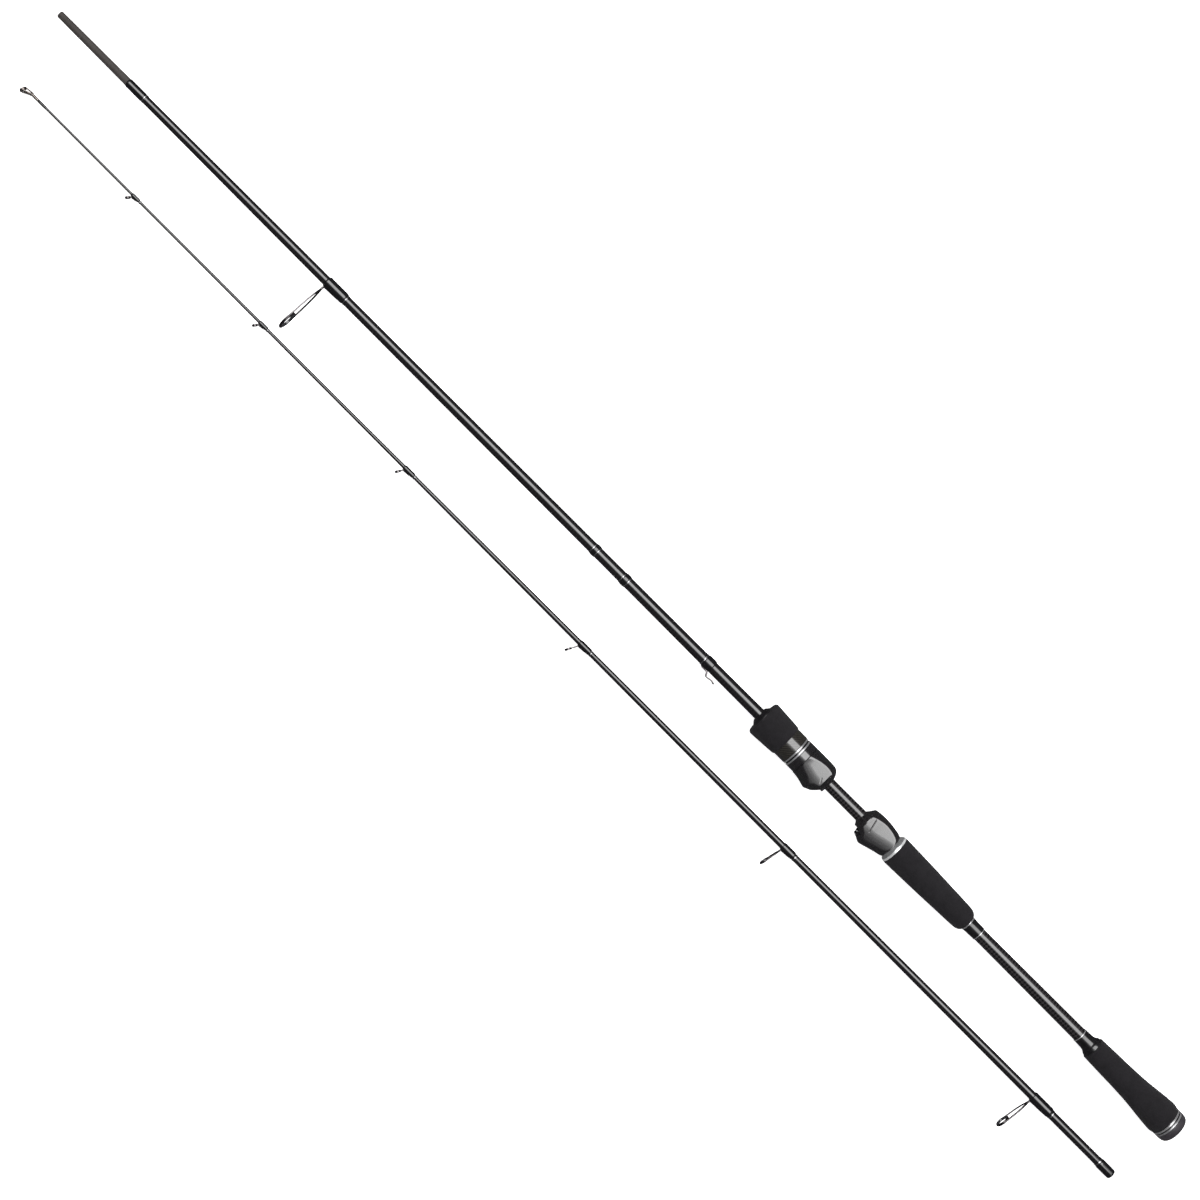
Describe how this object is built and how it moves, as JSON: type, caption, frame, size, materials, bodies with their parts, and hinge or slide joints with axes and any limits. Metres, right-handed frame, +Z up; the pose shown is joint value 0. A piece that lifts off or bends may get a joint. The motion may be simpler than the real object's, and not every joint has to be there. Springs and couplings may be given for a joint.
{
  "type": "spinning rod",
  "caption": "Two-piece spinning rod with a split reel seat, split foam grips and single-foot line guides, its tip section laid beside its butt section.",
  "frame": {"origin": "under the middle of the whole rod's box, on the surface that both sections lie on", "axes": "+X along the blanks from the butt towards the tips, +Y the side that the line guides point to, +Z up from the surface"},
  "size_m": [1.1924, 0.1078, 0.0294],
  "materials": {
    "blank": "gloss clear coat over cross-wrapped carbon, bare matte grey on the male ferrule",
    "foam": "matte closed-cell EVA foam",
    "thread": "black thread under clear epoxy",
    "hood": "glossy gunmetal paint on moulded plastic",
    "dark_plastic": "semi-gloss black",
    "butt_cap": "satin dark grey",
    "silver_trim": "polished",
    "guide_steel": "polished dark gunsmoke",
    "guide_ceramic": "polished dark ceramic",
    "carbon_weave": "clear-coated woven carbon"
  },
  "bodies": {
    "butt_section": {"butt_blank": "blank", "butt_cap": "butt_cap", "butt_plug": "dark_plastic", "butt_ring_rear": "silver_trim", "butt_ring_front": "silver_trim", "butt_grip": "foam", "butt_grip_check": "dark_plastic", "butt_collar": "dark_plastic", "butt_trim_ring": "silver_trim", "rear_trim_ring": "silver_trim", "rear_collar": "dark_plastic", "rear_grip_check": "silver_trim", "rear_grip": "foam", "rear_grip_ring": "silver_trim", "rear_hood": "hood", "rear_hood_nose": "hood", "rear_arbor": "dark_plastic", "seat_barrel": "dark_plastic", "keeper_wrap": "thread", "hook_keeper": "guide_steel", "label_wrap_rear": "thread", "label_wrap_front": "thread", "ferrule_wrap": "thread", "guide_7_frame": "guide_steel", "guide_7_insert": "guide_ceramic", "guide_7_wrap": "thread"},
    "front_hood": {"front_hood": "hood", "front_hood_band": "hood"},
    "foregrip": {"locking_nut": "dark_plastic", "foregrip_ring_rear": "silver_trim", "foregrip_ring_front": "silver_trim", "carbon_sleeve": "carbon_weave", "foregrip": "foam", "foregrip_check": "dark_plastic"},
    "tip_section": {"tip_blank": "blank", "socket_wrap": "thread", "guide_6_frame": "guide_steel", "guide_6_insert": "guide_ceramic", "guide_6_wrap": "thread", "guide_5_frame": "guide_steel", "guide_5_insert": "guide_ceramic", "guide_5_wrap": "thread", "guide_4_frame": "guide_steel", "guide_4_insert": "guide_ceramic", "guide_4_wrap": "thread", "guide_3_frame": "guide_steel", "guide_3_insert": "guide_ceramic", "guide_3_wrap": "thread", "guide_2_frame": "guide_steel", "guide_2_insert": "guide_ceramic", "guide_2_wrap": "thread", "guide_1_frame": "guide_steel", "guide_1_insert": "guide_ceramic", "guide_1_wrap": "thread", "tip_top_frame": "guide_steel", "tip_top_insert": "guide_ceramic", "tip_top_wrap": "thread"}
  },
  "joints": [
    {"name": "hood_slide", "type": "slide", "parent": "butt_section", "child": "front_hood", "axis": [1, 0, 0], "range_m": [-0.0075, 0.0125]},
    {"name": "foregrip_turn", "type": "hinge", "parent": "front_hood", "child": "foregrip", "pos_m": [-0.175, -0.03922, 0.0147], "axis": [1, 0, 0], "range_deg": [-1080, 1800]},
    {"name": "tip_section_slide", "type": "slide", "parent": "butt_section", "child": "tip_section", "axis": [1, 0, 0], "range_m": [0, 1.19]}
  ],
  "couplings": [
    {"joint": "hood_slide", "follows": "foregrip_turn", "m_per_rad": 0.00039788}
  ]
}
